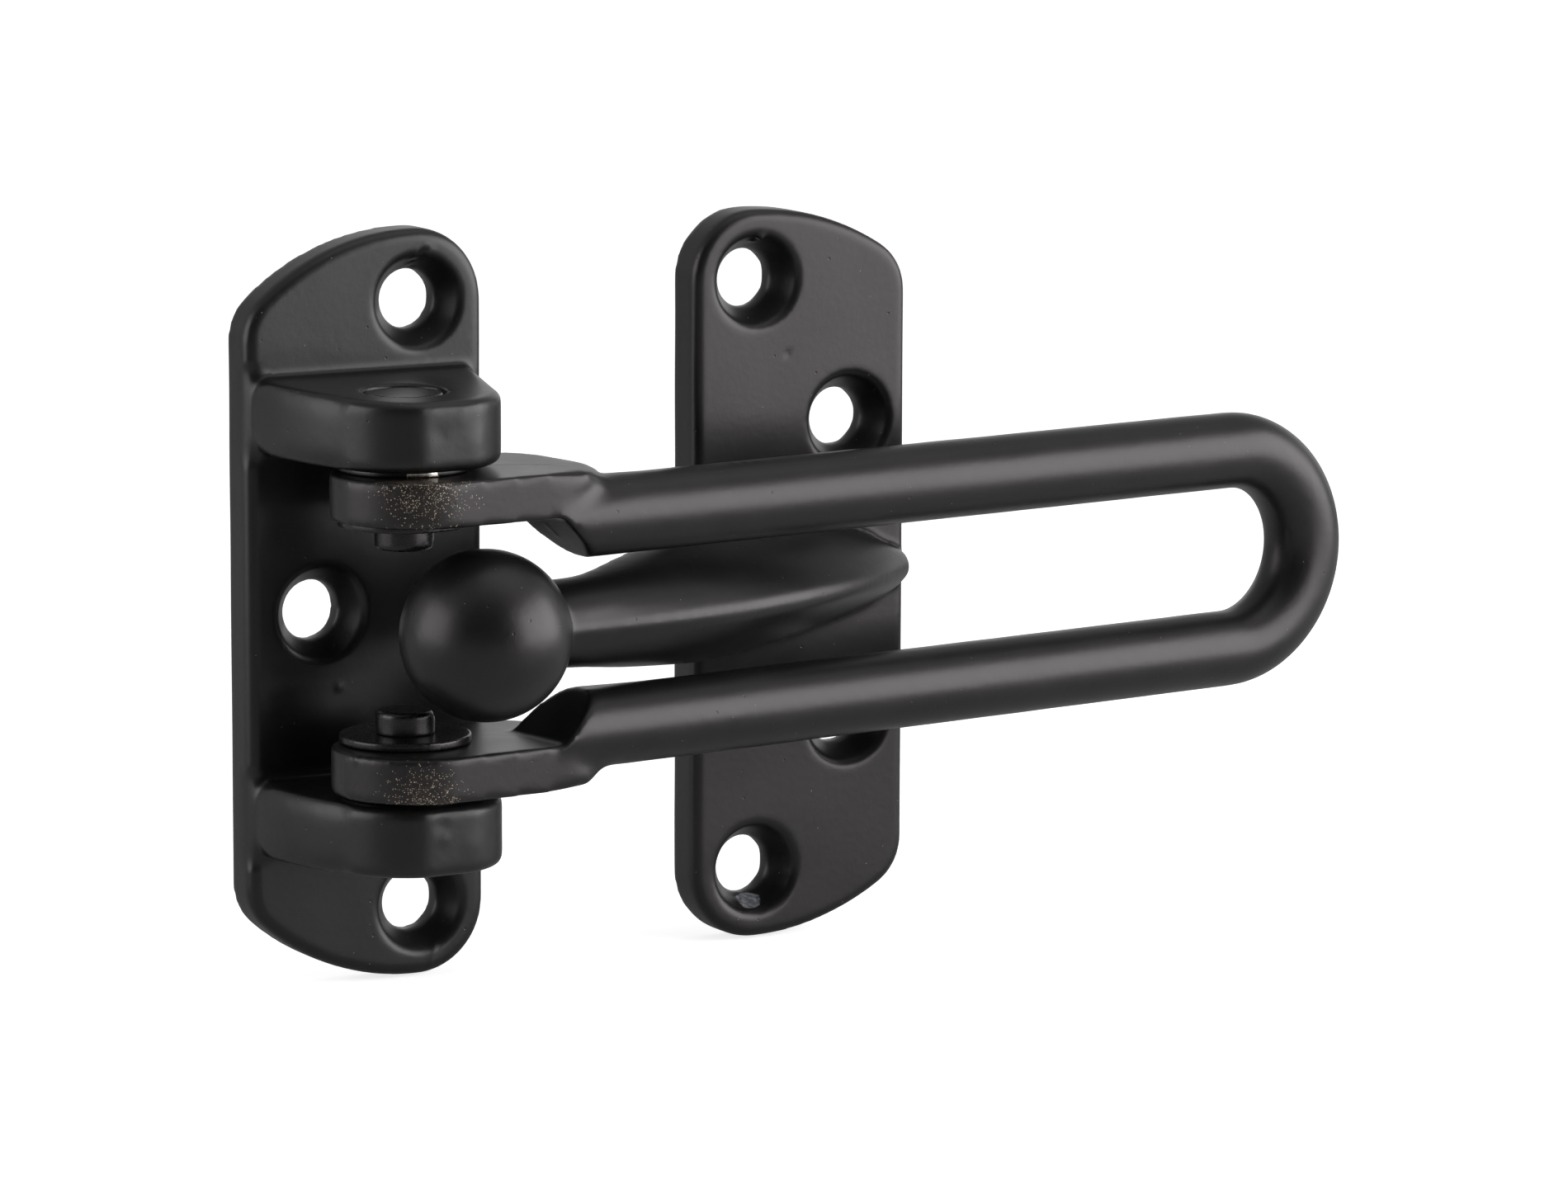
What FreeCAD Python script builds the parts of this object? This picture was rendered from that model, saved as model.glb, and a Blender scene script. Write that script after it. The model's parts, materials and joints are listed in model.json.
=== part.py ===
import FreeCAD, Part
import math
import os
from FreeCAD import Vector

# Door restrictor: a hinged swing bar on a bracket for the frame, and a ball on a keep for the door.
# Millimetres. X runs from the bracket to the keep, +Y into the door, +Z up.
# The origin is the centre of the bracket's back face, and both back faces lie on Y = 0.

# Plates
plate_height = 72.0
end_hole_edge = 6.9
screw_hole_diameter = 5.7
countersink_diameter = 9.2
countersink_rim = 0.25

hinge_plate_width = 24.8
hinge_plate_thickness = 4.2
hinge_plate_edge = 1.0
hinge_plate_sweep = 24.5
hinge_plate_corner = 5.4
hinge_hole_land = 1.7
middle_hole_offset = 4.8

keep_plate_width = 23.7
keep_plate_thickness = 4.5
keep_plate_edge = 0.8
keep_plate_sweep = 27.0
keep_plate_corner = 5.4
keep_hole_land = 1.5
side_hole_offset = 5.4
side_hole_spacing = 29.7

# Pin axis, measured from the bracket's centre and from its back
pin_side_offset = 1.8
pin_standoff = 15.8

# Swing bar
rod_diameter = 7.6
slot_width = 12.5
bar_length = 93.6
bar_lead = 6.8
bar_angle = 6.7
eye_radius = 8.0
eye_lead = 1.95
tab_thickness = 4.3
tab_inset = 0.65
tab_flat_end = 16.4
tab_step_end = 19.6
tab_shoulder_x = 14.0
tab_shoulder_y = 5.0
tab_shoulder_round = 3.0
tab_front_end = 13.7
tab_ramp_lean = 60.0
tab_ramp_angle = 38.0
tab_fade_start = 10.5
tab_fade_rise = 0.8
tab_fade_lean = 22.0
facet_start = 11.0
facet_angle = 45.0
flare_rise = 1.7
flare_end = 22.0

# Pins and washers
pin_diameter = 5.0
pin_fit = 0.03
bar_fit = 0.08
washer_fit = 0.1
face_gap = 0.05
pin_head_diameter = 7.7
pin_head_height = 1.6
pin_head_sink = 0.2
pin_head_edge = 0.3
peened_diameter = 5.55
peened_length = 2.25
peened_edge = 0.3
peened_flat = 2.1
peened_flat_depth = 0.7
washer_diameter = 12.4
retaining_washer_thickness = 0.8
friction_washer_thickness = 0.6

# Ears of the bracket
ear_thickness = 7.1
ear_draft = 1.5
ear_end_radius = 8.5
ear_end_shift = 0.6
ear_far_inset = 1.9
ear_near_inset = 1.3
ear_bury = 2.0
ear_edge = 0.9
ear_root = 0.7

# Ball, neck and arm of the keep
ball_diameter = 16.2
ball_ahead_x = 4.9
ball_ahead_y = 7.0
arm_reach = 44.0
neck_radius = 3.95
neck_start = 5.5
keel_lead = 2.35
keel_slope = 0.08
keel_flat = 16.0
keel_radius = 1.1
arm_tip_overhang = -0.35
arm_tip_height = 1.5
arm_tip_half_width = 1.3
arm_root_half_width = 7.35
arm_back_slope = 0.33
arm_bury = 1.2
arm_stations = 10

# Places that follow from the sizes
end_hole_z = plate_height / 2 - end_hole_edge
rod_radius = rod_diameter / 2
rod_z = slot_width / 2 + rod_radius
tab_inner_z = rod_z + tab_inset
tab_outer_z = tab_inner_z + tab_thickness
ear_inner_z = tab_outer_z + face_gap + friction_washer_thickness
ear_outer_z = ear_inner_z + ear_thickness
washer_end_z = tab_inner_z - face_gap - retaining_washer_thickness
pin_x = -pin_side_offset
pin_y = -pin_standoff
ball_x = pin_x + ball_ahead_x
ball_y = pin_y - ball_ahead_y
keep_x = ball_x + arm_reach
keep_left = keep_x - keep_plate_width / 2
keep_right = keep_x + keep_plate_width / 2
hinge_holes = [
    (hinge_plate_width / 2 - end_hole_edge, end_hole_z),
    (hinge_plate_width / 2 - end_hole_edge, -end_hole_z),
    (-middle_hole_offset, 0.0),
]
keep_holes = [
    (-keep_plate_width / 2 + end_hole_edge, end_hole_z),
    (-keep_plate_width / 2 + end_hole_edge, -end_hole_z),
    (side_hole_offset, side_hole_spacing / 2),
    (side_hole_offset, -side_hole_spacing / 2),
]


def arc_of(centre, radius, start_deg, end_deg, place):
    """Circular edge between two angles; place turns flat coordinates into a point."""
    points = []
    for share in (0.0, 0.5, 1.0):
        angle = math.radians(start_deg + (end_deg - start_deg) * share)
        flat = (centre[0] + radius * math.cos(angle), centre[1] + radius * math.sin(angle))
        points.append(place(*flat))
    return Part.Arc(*points).toShape()


def line_of(start, end):
    """Straight edge between two points."""
    return Part.LineSegment(start, end).toShape()


def prism(edges, direction):
    """Solid swept straight from a closed outline."""
    return Part.Face(Part.Wire(edges)).extrude(direction)


def edges_at(shape, keep):
    """Edges whose two ends and middle all pass the test."""
    chosen = []
    for edge in shape.Edges:
        first, last = edge.ParameterRange
        samples = [edge.valueAt(first + (last - first) * share) for share in (0.02, 0.5, 0.98)]
        if all(keep(point) for point in samples):
            chosen.append(edge)
    return chosen


def mirrored(shape):
    """The same shape on the other side of Z = 0."""
    return shape.mirror(Vector(0, 0, 0), Vector(0, 0, 1))


def plate_end(width, sweep, corner, place):
    """Edges of a plate's upper end, from its hole side over the top to its far side."""
    half = width / 2
    hole = half - end_hole_edge
    sweep_z = plate_height / 2 - sweep
    corner_x = corner - half
    rise = math.sqrt((sweep - corner) ** 2 - (corner_x - hole) ** 2)
    corner_z = sweep_z + rise
    meet = math.degrees(math.atan2(rise, corner_x - hole))
    edges = [
        arc_of((hole, end_hole_z), end_hole_edge, 0, 90, place),
        arc_of((hole, sweep_z), sweep, 90, meet, place),
        arc_of((corner_x, corner_z), corner, meet, 180, place),
    ]
    return edges, corner_z


def plate(width, thickness, sweep, corner, edge_fillet, side):
    """Flat cast plate with two swept ends; side is 1 with its end holes at +X, -1 at -X."""
    half = width / 2

    def upper(across, up):
        return Vector(side * across, 0, up)

    def lower(across, up):
        return Vector(side * across, 0, -up)

    top, far_z = plate_end(width, sweep, corner, upper)
    bottom, _ = plate_end(width, sweep, corner, lower)
    sides = [
        line_of(upper(-half, far_z), lower(-half, far_z)),
        line_of(lower(half, end_hole_z), upper(half, end_hole_z)),
    ]
    outline = Part.__sortEdges__(top + bottom + sides)
    solid = prism(outline, Vector(0, -thickness, 0))
    front = edges_at(solid, lambda point: abs(point.y + thickness) < 1e-4)
    return solid.makeFillet(edge_fillet, front)


def screw_hole(thickness, land):
    """Cutter for one countersunk hole on the Y axis, with a softly rounded rim."""
    hole = screw_hole_diameter / 2
    rim = countersink_diameter / 2
    spare = 1.0
    spread = (rim - hole) / (thickness - land)
    profile = [
        Vector(0, spare, 0),
        Vector(hole, spare, 0),
        Vector(hole, -land, 0),
        Vector(rim - spread * countersink_rim, countersink_rim - thickness, 0),
        Vector(rim + countersink_rim, -thickness, 0),
        Vector(rim + countersink_rim, -thickness - spare, 0),
        Vector(0, -thickness - spare, 0),
        Vector(0, spare, 0),
    ]
    face = Part.Face(Part.makePolygon(profile))
    return face.revolve(Vector(0, 0, 0), Vector(0, 1, 0), 360)


def drilled(solid, holes, thickness, land):
    """The plate with every screw hole of its pattern."""
    for across, up in holes:
        cutter = screw_hole(thickness, land)
        cutter.translate(Vector(across, 0, up))
        solid = solid.cut(cutter)
    return solid


def tangent_point(point, centre, radius, turn):
    """Where a line from the point touches the circle; turn picks the side."""
    dx = point[0] - centre[0]
    dy = point[1] - centre[1]
    away = math.hypot(dx, dy)
    swing = turn * math.acos(radius / away)
    angle = math.atan2(dy, dx) + swing
    return centre[0] + radius * math.cos(angle), centre[1] + radius * math.sin(angle)


def ear():
    """Upper ear: a tapered tongue with a round end about the pin axis."""
    near_x = hinge_plate_width / 2 - ear_near_inset
    far_x = ear_far_inset - hinge_plate_width / 2
    root = -hinge_plate_thickness
    buried = root + ear_bury
    centre = (pin_x + ear_end_shift, pin_y)
    left = tangent_point((far_x, root), centre, ear_end_radius, 1)
    right = tangent_point((near_x, root), centre, ear_end_radius, -1)

    def at(across, out):
        return Vector(across, out, ear_inner_z)

    def back(touch, across):
        share = (buried - touch[1]) / (root - touch[1])
        return at(touch[0] + (across - touch[0]) * share, buried)

    left_back = back(left, far_x)
    right_back = back(right, near_x)
    tip = at(centre[0], centre[1] - ear_end_radius)
    outline = [
        line_of(left_back, at(*left)),
        Part.Arc(at(*left), tip, at(*right)).toShape(),
        line_of(at(*right), right_back),
        line_of(right_back, left_back),
    ]
    solid = prism(outline, Vector(0, 0, ear_thickness))
    slope = math.tan(math.radians(ear_draft))
    reach = pin_standoff + 2 * ear_end_radius
    wedge = [
        Vector(0, 0, ear_outer_z - slope * root),
        Vector(0, -reach, ear_outer_z - slope * (reach + root)),
        Vector(0, -reach, ear_outer_z + 2 * ear_thickness),
        Vector(0, 0, ear_outer_z + 2 * ear_thickness),
        Vector(0, 0, ear_outer_z - slope * root),
    ]
    shaving = Part.Face(Part.makePolygon(wedge)).extrude(Vector(2 * hinge_plate_width, 0, 0))
    shaving.translate(Vector(-hinge_plate_width, 0, 0))
    return solid.cut(shaving)


def ear_top_at_pin():
    """Height of the drafted outer face over the pin axis."""
    slope = math.tan(math.radians(ear_draft))
    return ear_outer_z - slope * (pin_standoff - hinge_plate_thickness)


def pin_bore():
    """Cutter for the pin and its sunk head in the upper ear."""
    top = ear_top_at_pin()
    place = Vector(pin_x, pin_y, ear_inner_z - 1)
    bore = Part.makeCylinder(pin_diameter / 2 + pin_fit, ear_thickness + 2, place)
    seat_z = top - pin_head_sink - pin_head_height
    seat = Part.makeCylinder(pin_head_diameter / 2 + pin_fit, ear_thickness, Vector(pin_x, pin_y, seat_z))
    return bore.fuse(seat)


def both_halves(shape):
    """The part above Z = 0 and its mirror image, joined."""
    size = 2 * plate_height
    upper = shape.common(Part.makeBox(2 * size, 2 * size, size, Vector(-size, -size, 0)))
    return upper.fuse(mirrored(upper)).removeSplitter()


def hinge_bracket():
    """Frame plate and two ears, cast as one piece."""
    solid = plate(hinge_plate_width, hinge_plate_thickness, hinge_plate_sweep,
                  hinge_plate_corner, hinge_plate_edge, 1)
    solid = solid.fuse(ear()).removeSplitter()
    face_y = -hinge_plate_thickness
    spare = 0.2
    flat = hinge_plate_width / 2 - min(ear_far_inset, ear_near_inset)

    def on_ear(point):
        return ear_inner_z - spare < point.z < ear_outer_z + spare

    def at_root(point):
        return abs(point.y - face_y) < 0.01 and abs(point.x) < flat + spare and on_ear(point)

    root = min(ear_root, min(ear_far_inset, ear_near_inset) - hinge_plate_edge)
    solid = solid.makeFillet(root, edges_at(solid, at_root))
    rims = edges_at(solid, lambda point: point.y < face_y - spare and on_ear(point))
    rims = [edge for edge in rims if edge.BoundBox.ZLength < ear_thickness / 2]
    rims = [edge for edge in rims if edge.BoundBox.YMin < face_y - 2 * root]
    solid = solid.makeFillet(ear_edge, rims)
    solid = both_halves(solid.cut(pin_bore()))
    return drilled(solid, hinge_holes, hinge_plate_thickness, hinge_hole_land)


def hinge_pin():
    """Upper pin: sunk head, shank, and a peened end with a small flat."""
    top = ear_top_at_pin() - pin_head_sink
    shoulder = top - pin_head_height
    head = pin_head_diameter / 2
    shank = pin_diameter / 2
    peened = peened_diameter / 2
    end = washer_end_z - peened_length
    profile = [
        Vector(0, 0, top),
        Vector(head - pin_head_edge, 0, top),
        Vector(head, 0, top - pin_head_edge),
        Vector(head, 0, shoulder),
        Vector(shank, 0, shoulder),
        Vector(shank, 0, washer_end_z),
        Vector(peened, 0, washer_end_z),
        Vector(peened, 0, end + peened_edge),
        Vector(peened - peened_edge, 0, end),
        Vector(0, 0, end),
        Vector(0, 0, top),
    ]
    face = Part.Face(Part.makePolygon(profile))
    solid = face.revolve(Vector(0, 0, 0), Vector(0, 0, 1), 360)
    notch = Part.makeBox(peened, 2 * peened, peened_flat_depth + 1)
    notch.translate(Vector(peened_flat, -peened, end - 1))
    solid = solid.cut(notch)
    solid.translate(Vector(pin_x, pin_y, 0))
    return solid


def washer(bottom_z, thickness):
    """Flat stamped ring on the pin axis."""
    ring = Part.makeCylinder(washer_diameter / 2, thickness)
    ring = ring.cut(Part.makeCylinder(pin_diameter / 2 + washer_fit, thickness))
    ring.translate(Vector(pin_x, pin_y, bottom_z))
    return ring


def retaining_washer():
    """Washer that the peened end holds under the tab."""
    return washer(washer_end_z, retaining_washer_thickness)


def friction_washer():
    """Spring washer between ear and tab that steadies the bar."""
    return washer(ear_inner_z - friction_washer_thickness, friction_washer_thickness)


def rods():
    """Two parallel rods joined by a round end, about the pin axis as origin."""
    straight = facet_start - rod_diameter
    upper_start = Vector(straight, -bar_lead, rod_z)
    upper_end = Vector(bar_length, -bar_lead, rod_z)
    crown = Vector(bar_length + rod_z, -bar_lead, 0)
    lower_end = Vector(bar_length, -bar_lead, -rod_z)
    lower_start = Vector(straight, -bar_lead, -rod_z)
    path = Part.Wire([
        line_of(upper_start, upper_end),
        Part.Arc(upper_end, crown, lower_end).toShape(),
        line_of(lower_end, lower_start),
    ])
    section = Part.Wire(Part.makeCircle(rod_radius, upper_start, Vector(1, 0, 0)))
    return path.makePipeShell([section], True, False)


def rod_flare():
    """Short slanting rod that widens the upper rod's back toward the tab."""
    straight = facet_start - rod_diameter
    slope = flare_rise / (flare_end - facet_start)
    start = Vector(straight, -bar_lead + slope * (flare_end - straight), rod_z)
    end = Vector(flare_end, -bar_lead, rod_z)
    along = end - start
    return Part.makeCylinder(rod_radius, along.Length, start, along)


def facet_cutter():
    """Half space that leaves the upper rod's slanting end facet."""
    depth = 4 * rod_radius
    lean = 1 / math.tan(math.radians(facet_angle))
    low_z = rod_z - 2 * rod_radius
    high_z = rod_z + 2 * rod_radius
    profile = [
        Vector(facet_start + lean * (tab_inner_z - low_z), 0, low_z),
        Vector(facet_start + lean * (tab_inner_z - high_z), 0, high_z),
        Vector(-depth, 0, high_z),
        Vector(-depth, 0, low_z),
        Vector(facet_start + lean * (tab_inner_z - low_z), 0, low_z),
    ]
    cutter = Part.Face(Part.makePolygon(profile)).extrude(Vector(0, depth, 0))
    cutter.translate(Vector(0, -bar_lead - depth / 2, 0))
    return cutter


def tab():
    """Upper tab: an eye whose front runs flush into the rod and whose back steps down to it."""
    front = -bar_lead - rod_radius
    back = rod_radius - bar_lead
    eye = (0.0, -eye_lead)
    front_touch = tangent_point((tab_step_end, front), eye, eye_radius, -1)
    shoulder = (tab_shoulder_x, tab_shoulder_y)
    back_touch = tangent_point(shoulder, eye, eye_radius, 1)

    def at(along, across):
        return Vector(along, across, tab_inner_z)

    outline = [
        Part.Arc(at(*back_touch), at(-eye_radius, -eye_lead), at(*front_touch)).toShape(),
        line_of(at(*front_touch), at(tab_step_end, front)),
        line_of(at(tab_step_end, front), at(tab_step_end, back)),
        line_of(at(tab_step_end, back), at(*shoulder)),
        line_of(at(*shoulder), at(*back_touch)),
    ]
    solid = prism(outline, Vector(0, 0, tab_thickness))

    def at_shoulder(point):
        return math.hypot(point.x - shoulder[0], point.y - shoulder[1]) < 1e-3

    solid = solid.makeFillet(tab_shoulder_round, edges_at(solid, at_shoulder))
    return solid.cut([tab_slope(front), tab_front_slope(front), tab_fade(front)])


def tab_slope(front):
    """Cutter for the ramp from the tab's outer face down to the rod."""
    rod_top = rod_z + rod_radius
    far = 2 * tab_step_end
    drop = (tab_outer_z - rod_top) / (tab_step_end - tab_flat_end)
    profile = [
        Vector(tab_flat_end, 0, tab_outer_z),
        Vector(far, 0, tab_outer_z - drop * (far - tab_flat_end)),
        Vector(far, 0, tab_outer_z + tab_thickness),
        Vector(tab_flat_end, 0, tab_outer_z + tab_thickness),
        Vector(tab_flat_end, 0, tab_outer_z),
    ]
    cutter = Part.Face(Part.makePolygon(profile)).extrude(Vector(0, 4 * eye_radius, 0))
    cutter.translate(Vector(0, front - eye_radius, 0))
    return cutter


def half_space(corner, first, second):
    """Cutter that holds everything on one side of a plane through a corner; its normal has +X."""
    normal = first.cross(second)
    if normal.x < 0:
        normal = normal * -1
    size = 4 * bar_length
    box = Part.makeBox(size, size, size, Vector(-size / 2, -size / 2, 0))
    turn = FreeCAD.Rotation(Vector(0, 0, 1), normal)
    box.Placement = FreeCAD.Placement(corner, turn).multiply(box.Placement)
    return box


def level(angle):
    """Horizontal direction at an angle from the bar's length."""
    turn = math.radians(angle)
    return Vector(math.cos(turn), math.sin(turn), 0)


def tab_front_slope(front):
    """Cutter for the short ramp at the outer front corner of the tab."""
    corner = Vector(tab_front_end, front, tab_outer_z)
    drop = math.tan(math.radians(tab_ramp_angle))
    return half_space(corner, level(tab_ramp_lean), Vector(1, 0, -drop))


def tab_fade(front):
    """Cutter for the slanting plane on which the tab's front fades into the rod."""
    low = Vector(tab_fade_start, front, tab_inner_z + tab_fade_rise)
    high = Vector(tab_front_end, front, tab_outer_z)
    return half_space(low, high - low, level(tab_fade_lean))


def in_place(shape):
    """Moves a bar shape from the pin axis to its place, swung to its rest angle."""
    turn = FreeCAD.Rotation(Vector(0, 0, 1), bar_angle)
    shape.Placement = FreeCAD.Placement(Vector(pin_x, pin_y, 0), turn).multiply(shape.Placement)
    return shape


def swing_bar():
    """Loop of rod with two flattened eyes, forged as one piece."""
    flare = rod_flare()
    cutter = facet_cutter()
    loop = rods().fuse([flare, mirrored(flare)]).cut([cutter, mirrored(cutter)])
    upper = tab()
    bore = Part.makeCylinder(pin_diameter / 2 + bar_fit, 4 * rod_z, Vector(0, 0, -2 * rod_z))
    solid = loop.fuse([upper, mirrored(upper)]).cut(bore).removeSplitter()
    return in_place(solid)


def curve_y(start, slope, end, along):
    """Y on the arc that leaves start with a slope and ends at end."""
    scale = math.hypot(1, slope)
    normal = (-slope / scale, 1 / scale)
    dx = end[0] - start[0]
    dy = end[1] - start[1]
    off = normal[0] * dx + normal[1] * dy
    radius = (dx * dx + dy * dy) / (2 * off)
    centre = (start[0] + normal[0] * radius, start[1] + normal[1] * radius)
    return centre[1] - math.sqrt(radius ** 2 - (along - centre[0]) ** 2)


def keel_y(along):
    """Front ridge of the arm: nearly straight by the ball, then an arc down to the tip."""
    begin = (ball_x + keel_flat, ball_y - keel_lead + keel_slope * keel_flat)
    if along <= begin[0]:
        return ball_y - keel_lead + keel_slope * (along - ball_x)
    tip = (keep_right + arm_tip_overhang, -keep_plate_thickness - arm_tip_height)
    return curve_y(begin, keel_slope, tip, along)


def arm_section(along):
    """One pointed section of the arm, across X: rounded keel, two flanks and a back."""
    neck_x = ball_x + 2 * neck_radius
    tip_x = keep_right + arm_tip_overhang
    face_y = -keep_plate_thickness
    neck_y = keel_y(neck_x) + neck_radius
    if along < keep_left:
        share = max(0.0, (along - neck_x) / (keep_left - neck_x))
        wide_y = neck_y
        if along > neck_x:
            wide_y = curve_y((neck_x, neck_y), arm_back_slope, (keep_left, face_y), along)
        half = neck_radius + (arm_root_half_width - neck_radius) * share
        bulge = neck_radius + (arm_bury - neck_radius) * math.sqrt(share)
    else:
        share = (tip_x - along) / (tip_x - keep_left)
        wide_y = face_y
        spread = arm_root_half_width ** 2 - arm_tip_half_width ** 2
        half = math.sqrt(arm_tip_half_width ** 2 + spread * share)
        bulge = arm_bury
    front = keel_y(along)
    depth = wide_y - front
    nose = min(keel_radius, 0.45 * half) * 0.8
    rise = half - nose
    radius = (depth ** 2 + rise ** 2) / (2 * rise)
    middle = math.asin(min(1.0, depth / radius)) / 2
    flank_y = wide_y - radius * math.sin(middle)
    flank_z = half - radius * (1 - math.cos(middle))
    upper = Vector(along, front, nose)
    lower = Vector(along, front, -nose)
    upper_wide = Vector(along, wide_y, half)
    lower_wide = Vector(along, wide_y, -half)
    return Part.Wire([
        Part.Arc(lower, Vector(along, front - nose * 0.35, 0), upper).toShape(),
        Part.Arc(upper, Vector(along, flank_y, flank_z), upper_wide).toShape(),
        Part.Arc(upper_wide, Vector(along, wide_y + bulge, 0), lower_wide).toShape(),
        Part.Arc(lower_wide, Vector(along, flank_y, -flank_z), lower).toShape(),
    ])


def arm():
    """Keeled arm that rises from the plate in a leaf shape and narrows to the ball's neck."""
    start = ball_x + neck_start
    end = keep_right + arm_tip_overhang
    step = (end - start) / arm_stations
    sections = [arm_section(start + step * index) for index in range(arm_stations + 1)]
    return Part.makeLoft(sections, True, False)


def ball_keep():
    """Door plate with its arm and ball, cast as one piece."""
    solid = plate(keep_plate_width, keep_plate_thickness, keep_plate_sweep,
                  keep_plate_corner, keep_plate_edge, -1)
    solid = drilled(solid, keep_holes, keep_plate_thickness, keep_hole_land)
    solid.translate(Vector(keep_x, 0, 0))
    ball = Part.makeSphere(ball_diameter / 2, Vector(ball_x, ball_y, 0))
    return solid.fuse([arm(), ball]).removeSplitter()


def nodes():
    """Every piece under its own name."""
    pieces = {
        "hinge_bracket": hinge_bracket(),
        "swing_bar": swing_bar(),
        "ball_keep": ball_keep(),
    }
    stacked = {
        "hinge_pin": hinge_pin(),
        "retaining_washer": retaining_washer(),
        "friction_washer": friction_washer(),
    }
    for name, shape in stacked.items():
        pieces["upper_" + name] = shape
        pieces["lower_" + name] = mirrored(shape)
    return pieces


os.makedirs("parts", exist_ok=True)
for name, shape in nodes().items():
    shape.exportStep("parts/" + name + ".step")
    print(name, "solids", len(shape.Solids), "valid", shape.isValid(), "volume", round(shape.Volume, 1))
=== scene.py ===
import json
import math

import bpy
import numpy as np
from mathutils import Matrix, Vector


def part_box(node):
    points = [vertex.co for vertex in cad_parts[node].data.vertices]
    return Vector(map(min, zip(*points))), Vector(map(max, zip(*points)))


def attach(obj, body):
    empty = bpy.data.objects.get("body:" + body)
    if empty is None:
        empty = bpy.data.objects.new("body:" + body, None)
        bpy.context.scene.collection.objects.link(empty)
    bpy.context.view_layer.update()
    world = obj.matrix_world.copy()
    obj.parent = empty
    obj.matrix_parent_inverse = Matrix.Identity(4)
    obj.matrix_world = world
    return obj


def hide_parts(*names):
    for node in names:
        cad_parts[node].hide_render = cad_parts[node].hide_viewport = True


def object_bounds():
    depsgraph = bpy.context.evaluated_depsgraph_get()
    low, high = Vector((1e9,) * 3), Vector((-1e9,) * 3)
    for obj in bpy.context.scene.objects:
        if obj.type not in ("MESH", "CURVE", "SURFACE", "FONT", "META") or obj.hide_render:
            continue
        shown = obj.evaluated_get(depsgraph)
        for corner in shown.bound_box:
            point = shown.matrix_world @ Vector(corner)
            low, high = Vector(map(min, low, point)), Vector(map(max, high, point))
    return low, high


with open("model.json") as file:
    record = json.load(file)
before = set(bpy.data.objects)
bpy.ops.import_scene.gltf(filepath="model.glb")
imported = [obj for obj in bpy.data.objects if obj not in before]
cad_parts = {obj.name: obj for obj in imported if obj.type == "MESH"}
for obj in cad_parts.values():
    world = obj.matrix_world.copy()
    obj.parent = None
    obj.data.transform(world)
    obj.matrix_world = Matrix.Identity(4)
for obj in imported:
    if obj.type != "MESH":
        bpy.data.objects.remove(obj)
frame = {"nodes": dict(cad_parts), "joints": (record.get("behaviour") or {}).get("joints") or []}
cad_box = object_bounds()
nodes = frame["nodes"]

MM = 0.001

# Camera, fitted to the photograph: angles in degrees, sensor in millimetres
IMAGE_WIDTH = 1900
SENSOR = 36.0
FOCAL_PIXELS = 8500.0
CAMERA_AZIMUTH = -29.5
CAMERA_ELEVATION = 9.2
CAMERA_ROLL = -0.2
FRAME_ORIGIN_IN_VIEW = Vector((-41.58, -1.25, 668.71)) * MM
CLIP_NEAR, CLIP_FAR = 0.01, 20

# Studio, in metres
SUBJECT = Vector((0.035, -0.012, 0.0))
SURROUND = 0.27
GLOSS_SHARE = 0.08
FLOOR_GAP = 0.2 * MM
FLOOR_HALF = 6.0
FLOOR_LIFT, FAR_LIFT = 0.75, 0.2
LIFT_FROM, LIFT_TO = 0.3, 1.2
WHITE = (1, 1, 1, 1)
PAPER = (0.8, 0.8, 0.8, 1)
PAPER_IN_GLOSS = (0.54, 0.54, 0.54, 1)
FELT = (0.06, 0.06, 0.06, 1)

# Coat: colours, tints of the reflection and heights of the relief
COAT_DARK, COAT_PALE = (0.0068, 0.0066, 0.0067, 1), (0.0094, 0.0088, 0.0087, 1)
DUST = (0.34, 0.33, 0.31, 1)
RUBBED_COAT = (0.040, 0.030, 0.022, 1)
BRASSY = (0.50, 0.42, 0.32, 1)
SCRAPED_DARK, SCRAPED_PALE = (0.07, 0.075, 0.085, 1), (0.30, 0.31, 0.33, 1)
# Pale metal, lighter than steel, so that its patch paints a glint on the spacer
GLINT_METAL = (0.88, 0.83, 0.76, 1)
WARM_TINT = (1.0, 0.94, 0.965, 1)
NEUTRAL_TINT = (1.0, 0.985, 0.985, 1)
PEEL_HEIGHT = 0.012 * MM
GRAIN_HEIGHT = 0.0025 * MM
SPECK_HEIGHT = 0.04 * MM
FLECK_LAYERS = ((3700.0, 0.30), (6300.0, 0.36))

# Worn places of the coat, and the spacer's painted glint, in millimetres: centre, radius and softness
TAB_WEAR = (((-4.0, -25.0, 15.2), 3.2, 3.2), ((-4.2, -25.0, -15.6), 2.9, 2.7))
KEEP_SCRAPES = (((42.3, -2.7, -32.6), 1.4, 0.8),)
# Spacer: bare metal at the rim's front, partly real wear and partly a painted glint, placed and sized to the
# glint
SPACER_GLINT = (((-2.9, -22.2, 15.3), 1.7, 0.9),)

# Fineness of the pieces, in millimetres
CAST_VOXEL = 0.28
LONG_VOXEL = 0.30
SMALL_VOXEL = 0.13

# Hinge bracket, in millimetres, with the sizes of the part's source
PIN_X, PIN_Y = (place / MM for place in frame["joints"][0]["pos_m"][:2])
PLATE_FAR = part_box("hinge_bracket")[0].x / MM
PLATE_FRONT, PLATE_EDGE = 4.2, 1.0
EAR_INNER, EAR_OUTER = 15.65, 22.75
EAR_END, EAR_END_SHIFT = 8.5, 0.6
EAR_INSET, EAR_TAPER = 1.9, 0.0674
EAR_FAR = PLATE_FAR + EAR_INSET
EAR_ROOT = 0.7

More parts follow.
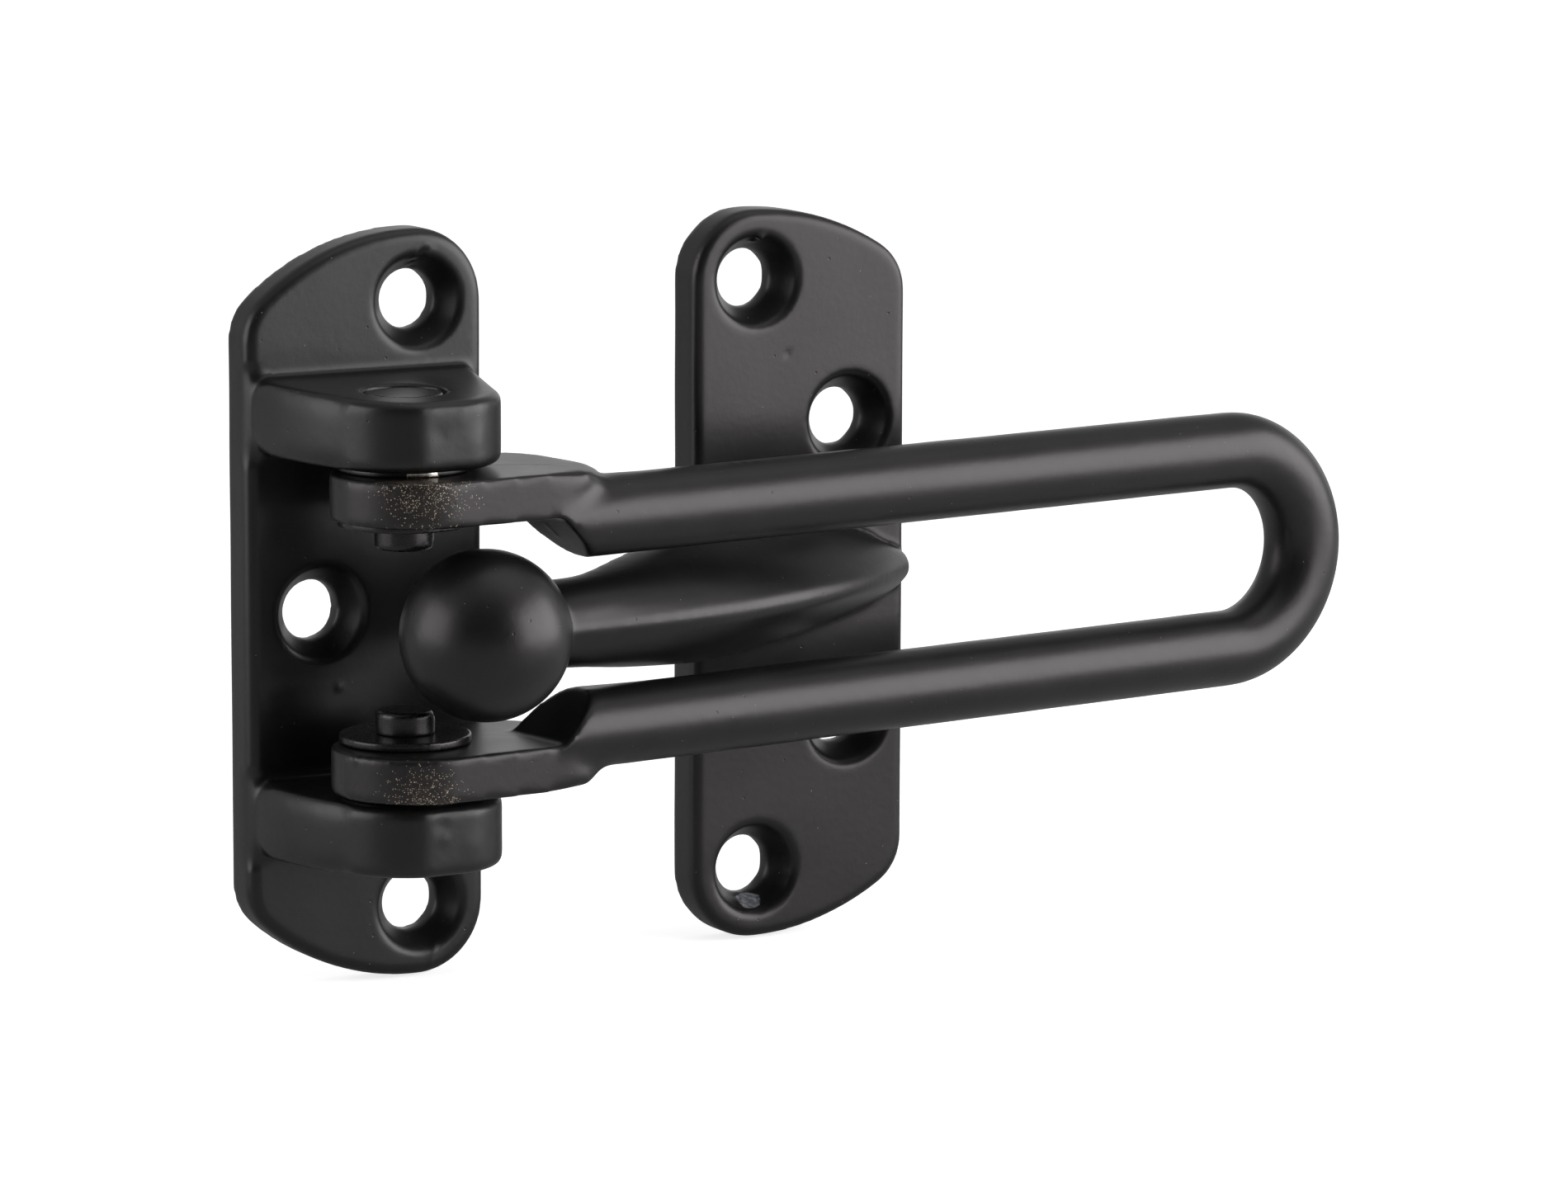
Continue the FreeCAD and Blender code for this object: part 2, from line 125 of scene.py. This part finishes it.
# Ears: the fill of their far sides, and the flat of their ends, by distance from the pin and by angle
FILL_FROM, FILL_TO = 4.0, 17.3
FILL_FAR = PLATE_FAR + 0.48
FILL_RISE = 2.32
FILL_DEPTH = (1.2, 4.5)
FLAT_AT, FLAT_TURN = 8.08, 1.5
FLAT_SHARPNESS = 9.0
FLAT_LEAST_COSINE = 0.3
FLAT_ANGLES = ((-60.0, -30.0), (30.0, 50.0))
FLAT_REACH = (4.9, 7.4)
FLAT_BEYOND = -10.0

# Ears: where they are shaped, and where their far sides and corners are smoothed.
# Heights are fades about the inner and the outer face.
EAR_HEIGHTS = ((-0.35, 0.15), (-0.1, 0.45))
SIDE_HEIGHTS = ((0.0, 0.6), (-0.9, -0.2))
SIDE_DEPTHS = ((-19.5, -17.5), (-2.2, -1.0))
SIDE_FADE = (-9.4, -8.4)
CORNER_HEIGHTS = ((-1.4, -0.4), (0.5, 1.5))
CORNER_DEPTHS = ((-7.0, -5.0), (-2.6, -1.6))
CORNER_FADE = (-10.9, -10.1)
EAR_ROUNDS = 50

# Bar, in its own axes: along it, across it and up
BAR_ANGLE = 6.7
TAB_RIDGE = ((13.2, -10.2, 14.2), (16.6, -1.0, 14.4), 1.9)
TAB_VALLEY = ((11.2, -10.4, 12.4), (17.5, -8.5, 13.3), 1.5)
TAB_FADE = (10.9, 11.9)
TAB_ROUNDS = 45

# Marks of making, in millimetres: centre, radius and height of each dent or bump
BRACKET_DENTS = (
    ((-2.1, -23.8, 19.4), 0.9, -0.07),
    ((1.6, -23.6, 18.4), 1.3, 0.06),
    ((0.2, -23.8, 20.6), 0.8, 0.04),
    ((-2.1, -23.8, -17.2), 0.8, -0.08),
    ((-1.7, -23.8, -18.6), 0.6, 0.05),
    ((1.2, -23.6, -19.5), 1.2, 0.05),
    ((-3.05, -4.2, -7.2), 0.35, 0.10),
)
KEEP_DENTS = (
    ((42.75, -4.05, 33.3), 0.34, 0.55),
    ((42.3, -3.3, 33.0), 0.32, 0.25),
    ((45.55, -4.5, 21.75), 0.3, -0.10),
)
BAR_DENTS = (
    ((-9.17, -20.24, -11.0), 0.3, 0.12),
    ((31.2, -19.2, 13.8), 0.32, 0.05),
    ((32.6, -19.2, 13.8), 0.32, 0.07),
    ((34.1, -19.2, 13.8), 0.32, 0.05),
    ((35.0, -19.2, 13.8), 0.32, 0.04),
)

# Marks of making: start, end, width and height of each ridge or groove
BRACKET_LINES = (
    ((7.1, -3.9, -33.3), (6.6, -4.2, -35.2), 0.22, 0.09),
    ((7.9, -3.9, -33.4), (7.3, -4.2, -34.9), 0.20, 0.07),
)
BAR_LINES = (
    ((11.0, -19.8, 9.45), (12.2, -19.8, 8.3), 0.22, 0.05),
    ((-9.5, -18.8, -11.3), (-9.5, -18.8, -14.6), 0.22, 0.05),
    ((98.9, -12.8, 1.4), (98.9, -12.8, -1.2), 0.3, -0.05),
    ((5.0, -16.4, 15.0), (11.5, -19.6, 15.0), 0.25, -0.04),
    ((5.0, -16.4, -11.0), (11.0, -19.0, -11.0), 0.25, -0.04),
)

# Unevenness: height, size and seed of the waves
WAVE_COUNT = 7
BRACKET_WAVES = (0.012, 5.0, 3)
KEEP_WAVES = (0.012, 6.0, 5)
BAR_WAVES = (0.010, 5.0, 7)

# Torn metal and its waves: burrs at the bracket's upper hole, and the keep's scraped countersink
RIM_BURR = ((4.4, -4.0, 32.2), (6.4, -4.0, 34.0), 0.55)
RIM_BURR_HEIGHT = 0.12
RIM_BURR_WAVES = (0.22, 0.5, 11)
MOUTH_BURR = ((5.6, -3.0, 32.8), (5.9, -2.0, 32.4), 0.45)
MOUTH_BURR_WAVES = (0.10, 0.5, 17)
SCRAPE = ((42.3, -2.6, -32.6), 1.4)
SCRAPE_WAVES = (0.10, 0.6, 23)


def link(thing):
    bpy.context.scene.collection.objects.link(thing)


def view_axes():
    """Right, up and forward of the camera in the frame."""
    a = math.radians(CAMERA_AZIMUTH)
    e = math.radians(CAMERA_ELEVATION)
    r = math.radians(CAMERA_ROLL)
    right = Vector((math.cos(a), math.sin(a), 0))
    up = Vector((-math.sin(a) * math.sin(e), math.cos(a) * math.sin(e), math.cos(e)))
    forward = Vector((-math.sin(a) * math.cos(e), math.cos(a) * math.cos(e), -math.sin(e)))
    turned_right = right * math.cos(r) - up * math.sin(r)
    turned_up = right * math.sin(r) + up * math.cos(r)
    return turned_right, turned_up, forward


def add_camera():
    """The photograph's camera."""
    right, up, forward = view_axes()
    origin = FRAME_ORIGIN_IN_VIEW
    place = -(right * origin.x + up * origin.y + forward * origin.z)
    data = bpy.data.cameras.new("photo_camera")
    data.sensor_width = SENSOR
    data.lens = FOCAL_PIXELS * SENSOR / IMAGE_WIDTH
    data.clip_start = CLIP_NEAR
    data.clip_end = CLIP_FAR
    camera = bpy.data.objects.new("photo_camera", data)
    camera.matrix_world = Matrix((
        (right.x, up.x, -forward.x, place.x),
        (right.y, up.y, -forward.y, place.y),
        (right.z, up.z, -forward.z, place.z),
        (0, 0, 0, 1),
    ))
    link(camera)
    bpy.context.scene.camera = camera


def around(azimuth, elevation):
    """Direction from the subject; azimuth 0 points to the camera, 90 to the picture's right."""
    a = math.radians(CAMERA_AZIMUTH)
    toward = Vector((math.sin(a), -math.cos(a), 0))
    right = Vector((math.cos(a), math.sin(a), 0))
    t = math.radians(azimuth)
    e = math.radians(elevation)
    flat = toward * math.cos(t) + right * math.sin(t)
    return flat * math.cos(e) + Vector((0, 0, math.sin(e)))


def soft_box(name, azimuth, elevation, distance, size, radiance):
    """Rectangular soft box that faces the subject."""
    place = SUBJECT + around(azimuth, elevation) * distance
    data = bpy.data.lights.new(name, "AREA")
    data.shape = "RECTANGLE"
    data.size, data.size_y = size
    data.energy = radiance * math.pi * size[0] * size[1]
    lamp = bpy.data.objects.new(name, data)
    lamp.location = place
    lamp.rotation_mode = "QUATERNION"
    lamp.rotation_quaternion = (SUBJECT - place).to_track_quat("-Z", "Y")
    link(lamp)


class Graph:
    """Short hand for building the node tree of a material or world."""

    def __init__(self, owner):
        owner.use_nodes = True
        self.tree = owner.node_tree
        self.tree.nodes.clear()

    def feed(self, socket, value):
        """Gives a socket its link or its constant."""
        if isinstance(value, bpy.types.NodeSocket):
            self.tree.links.new(value, socket)
        else:
            socket.default_value = value

    def add(self, kind, inputs=None, **settings):
        node = self.tree.nodes.new(kind)
        for name, value in settings.items():
            setattr(node, name, value)
        for name, value in (inputs or {}).items():
            self.feed(node.inputs[name], value)
        return node

    def math(self, operation, a, b):
        return self.add("ShaderNodeMath", {0: a, 1: b}, operation=operation).outputs[0]

    def scaled_sum(self, value, factor, base):
        """base plus factor times value."""
        return self.math("ADD", self.math("MULTIPLY", value, factor), base)

    def noise(self, place, scale, detail=2.0, rough=0.5):
        inputs = {"Vector": place, "Scale": scale, "Detail": detail, "Roughness": rough}
        return self.add("ShaderNodeTexNoise", inputs).outputs["Fac"]

    def ramp(self, value, low, high):
        """0 at low, 1 at high, an even S between them."""
        inputs = {"Value": value, "From Min": low, "From Max": high}
        return self.add("ShaderNodeMapRange", inputs, interpolation_type="SMOOTHSTEP").outputs["Result"]

    def blend(self, share, low, high):
        """Colour between two colours."""
        node = self.add("ShaderNodeMix", {"Factor": share}, data_type="RGBA")
        sockets = {socket.identifier: socket for socket in node.inputs}
        self.feed(sockets["A_Color"], low)
        self.feed(sockets["B_Color"], high)
        return next(socket for socket in node.outputs if socket.identifier == "Result_Color")

    def diffuse(self, colour):
        return self.add("ShaderNodeBsdfDiffuse", {"Color": colour}).outputs[0]

    def glow(self, strength):
        return self.add("ShaderNodeEmission", {"Color": WHITE, "Strength": strength}).outputs[0]

    def mixed(self, share, first, second):
        """Shader that is the first one at 0 and the second one at 1."""
        return self.add("ShaderNodeMixShader", {0: share, 1: first, 2: second}).outputs[0]

    def surface(self, shader, output="ShaderNodeOutputMaterial"):
        self.add(output, {"Surface": shader})


def near(g, place, centre, radius, soft):
    """1 within a radius of a point in millimetres, falling softly to 0."""
    point = tuple(value * MM for value in centre)
    gap = g.add("ShaderNodeVectorMath", {0: place, 1: point}, operation="DISTANCE").outputs["Value"]
    return g.ramp(gap, (radius + soft) * MM, (radius - soft) * MM)


def specks(g, place, scale, radius, chosen):
    """Small scattered round specks; chosen is the share of cells that hold one."""
    cells = g.add("ShaderNodeTexVoronoi", {"Vector": place, "Scale": scale})
    dot = g.ramp(cells.outputs["Distance"], radius, radius / 2)
    pick = g.add("ShaderNodeSeparateColor", {"Color": cells.outputs["Color"]}).outputs[0]
    return g.math("MULTIPLY", dot, g.math("LESS_THAN", pick, chosen))


def worn(g, place, colour, rough, spot):
    """Colour and roughness where rubbing has left a haze and brassy flecks."""
    zone = near(g, place, *spot)
    haze = g.math("MULTIPLY", zone, g.ramp(g.noise(place, 900.0, 4.0, 0.7), 0.35, 0.7))
    colour = g.blend(g.math("MULTIPLY", haze, 0.75), colour, RUBBED_COAT)
    chance = g.math("MULTIPLY", zone, g.ramp(g.noise(place, 1500.0, 3.0, 0.6), 0.28, 0.55))
    flecks = g.math("MAXIMUM", *(specks(g, place, scale, radius, chance) for scale, radius in FLECK_LAYERS))
    return g.blend(flecks, colour, BRASSY), g.scaled_sum(haze, 0.12, rough)


def scraped(g, place, colour, rough, spot):
    """Colour and roughness where the coat is torn off in pale streaks."""
    edge = g.scaled_sum(g.noise(place, 1100.0, 4.0, 0.7), 0.7, near(g, place, *spot))
    torn = g.ramp(edge, 0.95, 1.08)
    streak = g.ramp(g.noise(place, 2600.0, 3.0, 0.6), 0.3, 0.75)
    colour = g.blend(torn, colour, g.blend(streak, SCRAPED_DARK, SCRAPED_PALE))
    return colour, g.scaled_sum(torn, 0.15, rough)


def glint_patch(g, place, colour, rough, spot):
    """Colour and roughness of a pale bare-metal patch, partly real wear and partly a painted glint, and the
    share of metal.
    """
    edge = g.scaled_sum(g.noise(place, 800.0, 3.0, 0.6), 0.5, near(g, place, *spot))
    shown = g.ramp(edge, 0.80, 0.95)
    return g.blend(shown, colour, GLINT_METAL), g.scaled_sum(shown, -0.08, rough), shown


def relief(g, place, grain, pits, dust):
    """Normal of the coat's orange peel, grain, pits and dust."""
    peel = g.noise(place, 1300.0, 2.0)
    layers = (
        (peel, 1.0, PEEL_HEIGHT, False),
        (grain, 1.0, GRAIN_HEIGHT, False),
        (pits, 0.6, SPECK_HEIGHT, True),
        (dust, 0.5, SPECK_HEIGHT, False),
    )
    normal = {}
    for height, strength, distance, sunk in layers:
        inputs = {"Strength": strength, "Distance": distance, "Height": height, **normal}
        normal = {"Normal": g.add("ShaderNodeBump", inputs, invert=sunk).outputs["Normal"]}
    return normal["Normal"]


def black_coat(name, roughness=0.36, tint=WARM_TINT, wear=(), scrapes=(), glint_spots=()):
    """Satin black coat with fine grain, dust, places where it is worn through, and pale metal patches that
    are partly worn metal and partly a painted glint.
    """
    material = bpy.data.materials.new(name)
    g = Graph(material)
    place = g.add("ShaderNodeTexCoord").outputs["Object"]
    cloud = g.noise(place, 180.0, 3.0)
    grain = g.noise(place, 7000.0, 2.0, 0.6)
    colour = g.blend(g.ramp(cloud, 0.3, 0.7), COAT_DARK, COAT_PALE)
    rough = roughness
    for uneven in (cloud, grain):
        rough = g.scaled_sum(g.math("SUBTRACT", uneven, 0.5), 0.10, rough)
    metal = 0.0

    dust = specks(g, place, 1100.0, 0.055, 0.30)
    pits = specks(g, place, 620.0, 0.10, 0.35)
    colour = g.blend(dust, colour, DUST)
    for spot in wear:
        colour, rough = worn(g, place, colour, rough, spot)
    for spot in scrapes:
        colour, rough = scraped(g, place, colour, rough, spot)
    # Painted glint: a small pale metal patch on the spacer's rim, partly real wear
    for spot in glint_spots:
        colour, rough, metal = glint_patch(g, place, colour, rough, spot)

    shader = g.add("ShaderNodeBsdfPrincipled", {
        "Base Color": colour,
        "Roughness": rough,
        "Metallic": metal,
        "Specular Tint": tint,
        "Normal": relief(g, place, grain, pits, dust),
    })
    g.surface(shader.outputs["BSDF"])
    return material


def seen_directly(g, in_gloss):
    """1 for camera and transmission rays, and a share of it for glossy rays."""
    path = g.add("ShaderNodeLightPath")
    seen = g.math("MAXIMUM", path.outputs["Is Camera Ray"], path.outputs["Is Transmission Ray"])
    return g.math("MAXIMUM", seen, g.math("MULTIPLY", path.outputs["Is Glossy Ray"], in_gloss))


def world_light():
    """Pale surround, white where the camera looks past the floor."""
    world = bpy.data.worlds.new("studio")
    bpy.context.scene.world = world
    g = Graph(world)
    surround, white = (
        g.add("ShaderNodeBackground", {"Color": WHITE, "Strength": strength}).outputs[0]
        for strength in (SURROUND, 1.0)
    )
    g.surface(g.mixed(seen_directly(g, GLOSS_SHARE), surround, white), "ShaderNodeOutputWorld")


def sheet(name, corners, material):
    """Flat studio sheet between four corners."""
    mesh = bpy.data.meshes.new(name)
    mesh.from_pydata([tuple(corner) for corner in corners], [], [(0, 1, 2, 3)])
    mesh.materials.append(material)
    thing = bpy.data.objects.new(name, mesh)
    link(thing)


def pale_floor():
    """Plain pale floor under the part, white where the camera sees it lit."""
    material = bpy.data.materials.new("pale_floor")
    g = Graph(material)
    in_gloss = g.add("ShaderNodeLightPath").outputs["Is Glossy Ray"]
    paper = g.diffuse(g.blend(in_gloss, PAPER, PAPER_IN_GLOSS))
    place = g.add("ShaderNodeTexCoord").outputs["Object"]
    away = g.add("ShaderNodeVectorMath", {0: place}, operation="LENGTH").outputs["Value"]
    lift = g.scaled_sum(g.ramp(away, LIFT_FROM, LIFT_TO), FAR_LIFT, FLOOR_LIFT)
    lifted = g.add("ShaderNodeAddShader", {0: paper, 1: g.glow(lift)}).outputs[0]
    g.surface(g.mixed(seen_directly(g, GLOSS_SHARE), paper, lifted))
    low = cad_box[0][2] - FLOOR_GAP
    half = FLOOR_HALF
    sheet("floor", [(-half, -half, low), (half, -half, low), (half, half, low), (-half, half, low)], material)


def panel(name, surface, azimuth, distance, left, right, top):
    """Upright studio panel that the camera looks through, so that it hides no view."""
    material = bpy.data.materials.new(name)
    g = Graph(material)
    clear = g.add("ShaderNodeBsdfTransparent").outputs[0]
    camera_ray = g.add("ShaderNodeLightPath").outputs["Is Camera Ray"]
    g.surface(g.mixed(camera_ray, surface(g), clear))
    centre = SUBJECT + around(azimuth, 0) * distance
    far_left = centre - around(90, 0) * left
    far_right = centre + around(90, 0) * right
    low = Vector((0, 0, cad_box[0][2] - centre.z))
    high = Vector((0, 0, top))
    sheet(name, [far_left + low, far_right + low, far_right + high, far_left + high], material)


def white_paper(g):
    """Paper that mirrors see as full white."""
    return g.mixed(seen_directly(g, 1.0), g.diffuse(PAPER), g.glow(1.0))


def dark_felt(g):
    """Cloth that mirrors see as nearly black."""
    return g.diffuse(FELT)


def remeshed(node, voxel):
    """Even fine mesh of a node's form."""
    work = node.copy()
    work.data = node.data.copy()
    link(work)
    change = work.modifiers.new("even", "REMESH")
    change.mode = "VOXEL"
    change.voxel_size = voxel * MM
    graph = bpy.context.evaluated_depsgraph_get()
    mesh = bpy.data.meshes.new_from_object(work.evaluated_get(graph))
    bpy.data.objects.remove(work)
    return mesh


def vertex_values(mesh, name):
    """Three numbers of each vertex, as rows."""
    flat = np.empty(len(mesh.vertices) * 3, dtype=np.float32)
    mesh.vertices.foreach_get(name, flat)
    return flat.reshape(-1, 3).astype(np.float64)


def edges_of(mesh):
    flat = np.empty(len(mesh.edges) * 2, dtype=np.int32)
    mesh.edges.foreach_get("vertices", flat)
    return flat.reshape(-1, 2)


def place_points(mesh, points):
    mesh.vertices.foreach_set("co", (points * MM).astype(np.float32).ravel())
    mesh.update()


def relaxed(points, edges, rounds, weight=None):
    """Points moved towards the mean of their neighbours, which rounds edges off."""
    count = len(points)
    a, b = edges[:, 0], edges[:, 1]
    degree = np.bincount(a, minlength=count) + np.bincount(b, minlength=count)
    share = 0.5 if weight is None else 0.5 * weight[:, None]
    for _ in range(rounds):
        mean = np.stack([
            np.bincount(a, points[b, k], count) + np.bincount(b, points[a, k], count)
            for k in range(3)], axis=1) / degree[:, None]
        points = points + share * (mean - points)
    return points


def smooth(value, low, high):
    """0 below low, 1 above high, an even S between them."""
    t = np.clip((value - low) / (high - low), 0, 1)
    return t * t * (3 - 2 * t)


def band(value, rise, fall):
    """1 between two fades, each given by its start and end, and 0 beyond them."""
    return smooth(value, *rise) * (1 - smooth(value, *fall))


def waves(points, height, size, seed):
    """Gentle unevenness with bumps of about a size, mostly within a height up and down."""
    random = np.random.RandomState(seed)
    total = np.zeros(len(points))
    for _ in range(WAVE_COUNT):
        way = random.normal(size=3)
        way /= np.linalg.norm(way)
        length = size * random.uniform(1.2, 2.6)
        total += np.sin(points @ way * (2 * np.pi / length) + random.uniform(0, 6.283))
    return height * total * 2 / WAVE_COUNT


def mound(points, centre, radius):
    """Round bump about a point, 1 at its middle."""
    gap = np.linalg.norm(points - np.array(centre), axis=1)
    return np.exp(-(gap / radius) ** 2)


def track(points, start, end, width):
    """Narrow band along a line between two points, 1 at its middle."""
    a = np.array(start)
    way = np.array(end) - a
    share = np.clip((points - a) @ way / (way @ way), 0, 1)
    gap = np.linalg.norm(points - a - share[:, None] * way, axis=1)
    return np.exp(-(gap / width) ** 2)


def all_marks(points, dents, lines=()):
    """Height of a piece's dents, bumps, ridges and grooves."""
    return (sum(height * mound(points, centre, radius) for centre, radius, height in dents)
            + sum(height * track(points, start, end, width) for start, end, width, height in lines))


def bar_local(points):
    """Points in the bar's own axes: along it, across it and up."""
    turn = math.radians(BAR_ANGLE)
    x = points[:, 0] - PIN_X
    y = points[:, 1] - PIN_Y
    along = x * math.cos(turn) + y * math.sin(turn)
    across = y * math.cos(turn) - x * math.sin(turn)
    return np.stack([along, across, points[:, 2]], axis=1)


def bar_blend(points):
    """Where the flat tabs run out into the round rods."""
    local = bar_local(points)
    local[:, 2] = np.abs(local[:, 2])
    both = track(local, *TAB_RIDGE) + track(local, *TAB_VALLEY)
    return np.clip(both, 0, 1) * smooth(local[:, 2], *TAB_FADE)


def ear_band(points, heights):
    """1 between the faces of the ears, with fades about the inner and the outer face."""
    inner, outer = heights
    rise = (EAR_INNER + inner[0], EAR_INNER + inner[1])
    fall = (EAR_OUTER + outer[0], EAR_OUTER + outer[1])
    return band(np.abs(points[:, 2]), rise, fall)


def ear_far_side(out):
    """Place across of the far side of plate and ear, for a place out from the mount surface."""
    edge = np.sqrt(np.clip(PLATE_EDGE ** 2 - (out - (PLATE_FRONT - PLATE_EDGE)) ** 2, 0, None))
    corner = PLATE_FAR + PLATE_EDGE - edge
    curve = np.sqrt(np.clip(EAR_ROOT ** 2 - (out - PLATE_FRONT - EAR_ROOT) ** 2, 0, None))
    root = EAR_FAR - EAR_ROOT + curve
    side = EAR_FAR + (out - PLATE_FRONT) * EAR_TAPER
    return np.where(out < PLATE_FRONT, corner, np.where(out < PLATE_FRONT + EAR_ROOT, root, side))


def filled_ear_roots(points):
    """The ears' far sides flow into the plate's rounded edge."""
    out = -points[:, 1]
    share = np.clip((out - FILL_FROM) / (FILL_TO - FILL_FROM), 0, 1)
    wanted = FILL_FAR + FILL_RISE * share ** 2
    far = ear_far_side(out)
    gap = np.minimum(wanted - far, 0) * ((out > FILL_FROM) & (out < FILL_TO))
    skin = 1 - smooth(points[:, 0] - far, *FILL_DEPTH)
    moved = points.copy()
    moved[:, 0] += gap * skin * ear_band(points, EAR_HEIGHTS)
    return moved


def flattened_ear_ends(points):
    """The ears' round ends hold a shallow flat that is square to the plate."""
    flat = points[:, :2] - np.array((PIN_X + EAR_END_SHIFT, PIN_Y))
    reach = np.linalg.norm(flat, axis=1)
    turn = np.degrees(np.arctan2(flat[:, 0], -flat[:, 1]))
    line = FLAT_AT / np.maximum(np.cos(np.radians(turn - FLAT_TURN)), FLAT_LEAST_COSINE)
    wanted = -np.log(1 + np.exp(-FLAT_SHARPNESS * (line - EAR_END))) / FLAT_SHARPNESS
    share = band(turn, *FLAT_ANGLES) * smooth(reach, *FLAT_REACH) * ear_band(points, EAR_HEIGHTS)
    step = wanted * share * (points[:, 1] < FLAT_BEYOND)
    shifted = points[:, :2] + flat / np.maximum(reach, 0.1)[:, None] * step[:, None]
    return np.column_stack((shifted, points[:, 2]))


def ear_root_zone(points):
    """Where the ears' far sides, and their corners at the plate, are smoothed."""
    blocks = (
        (SIDE_DEPTHS, SIDE_FADE, SIDE_HEIGHTS),
        (CORNER_DEPTHS, CORNER_FADE, CORNER_HEIGHTS),
    )
    side, corner = (
        band(points[:, 1], *depths) * (1 - smooth(points[:, 0], *fade)) * ear_band(points, heights)
        for depths, fade, heights in blocks
    )
    return np.maximum(side, corner)


def shaped_ears(points, edges):
    points = flattened_ear_ends(filled_ear_roots(points))
    return relaxed(points, edges, EAR_ROUNDS, ear_root_zone(points))


def softened_tabs(points, edges):
    return relaxed(points, edges, TAB_ROUNDS, bar_blend(points))


def bracket_marks(points):
    """Height of the bracket's unevenness, dents, flash lines and burrs."""
    burrs = track(points, *RIM_BURR) * (RIM_BURR_HEIGHT + waves(points, *RIM_BURR_WAVES))
    burrs += track(points, *MOUTH_BURR) * waves(points, *MOUTH_BURR_WAVES)
    return waves(points, *BRACKET_WAVES) + all_marks(points, BRACKET_DENTS, BRACKET_LINES) + burrs


def keep_marks(points):
    """Height of the keep's unevenness, dents and scrape."""
    scrape = mound(points, *SCRAPE) * waves(points, *SCRAPE_WAVES)
    return waves(points, *KEEP_WAVES) + all_marks(points, KEEP_DENTS) + scrape


def bar_marks(points):
    """Height of the bar's unevenness, bumps and forging lines."""
    return waves(points, *BAR_WAVES) + all_marks(points, BAR_DENTS, BAR_LINES)


def own_piece(name, body, voxel, rounds, shape=None, marks=None):
    """A node's form with its edges rounded off, its soft forms shaped and its marks added."""
    mesh = remeshed(nodes[name], voxel)
    edges = edges_of(mesh)
    points = relaxed(vertex_values(mesh, "co") / MM, edges, rounds)
    place_points(mesh, points)
    normals = vertex_values(mesh, "normal")
    if shape:
        points = shape(points, edges)
    if marks:
        points = points + normals * marks(points)[:, None]
    mesh.polygons.foreach_set("use_smooth", np.ones(len(mesh.polygons), dtype=bool))
    place_points(mesh, points)
    mesh.materials.clear()
    mesh.name = name + "_look"
    piece = bpy.data.objects.new(name + "_look", mesh)
    link(piece)
    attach(piece, body)
    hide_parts(name)
    return piece


def small_pair(kind, rounds):
    """The upper and the lower one of a small steel piece."""
    return [
        own_piece(side + kind, "fixed_parts", SMALL_VOXEL, rounds)
        for side in ("upper", "lower")
    ]


def dress(pieces, material):
    for piece in pieces:
        piece.data.materials.append(material)


add_camera()
world_light()
soft_box("right_box", azimuth=81.5, elevation=10, distance=0.5, size=(0.615, 0.49), radiance=4.0)
soft_box("left_box", azimuth=-72, elevation=10, distance=0.5, size=(0.40, 0.41), radiance=2.25)
soft_box("low_strip", azimuth=74, elevation=-6.3, distance=0.3, size=(0.34, 0.03), radiance=2.8)
soft_box("top_box", azimuth=95, elevation=76, distance=0.8, size=(0.6, 0.6), radiance=0.5)
pale_floor()
panel("backdrop", white_paper, azimuth=180, distance=1.3, left=0.6, right=1.3, top=0.55)
panel("dark_card", dark_felt, azimuth=0, distance=0.95, left=0.80, right=0.80, top=1.1)

bracket = own_piece("hinge_bracket", "fixed_parts", CAST_VOXEL, rounds=4,
                    shape=shaped_ears, marks=bracket_marks)
keep = own_piece("ball_keep", "fixed_parts", LONG_VOXEL, rounds=6, marks=keep_marks)
bar = own_piece("swing_bar", "swing_bar", LONG_VOXEL, rounds=4,
                shape=softened_tabs, marks=bar_marks)
pins = small_pair("_hinge_pin", rounds=3)
washers = small_pair("_retaining_washer", rounds=3)
spacers = small_pair("_friction_washer", rounds=2)

dress([bracket], black_coat("bracket_coat", tint=NEUTRAL_TINT))
dress([keep], black_coat("keep_coat", scrapes=KEEP_SCRAPES))
dress([bar], black_coat("bar_coat", wear=TAB_WEAR))
dress(pins + washers, black_coat("steel_coat", roughness=0.28))
# The spacers carry a painted glint: a small pale bare-metal patch at the front of the rim
dress(spacers, black_coat("spacer_coat", roughness=0.30, glint_spots=SPACER_GLINT))

view = bpy.context.scene.view_settings
view.view_transform = "Standard"
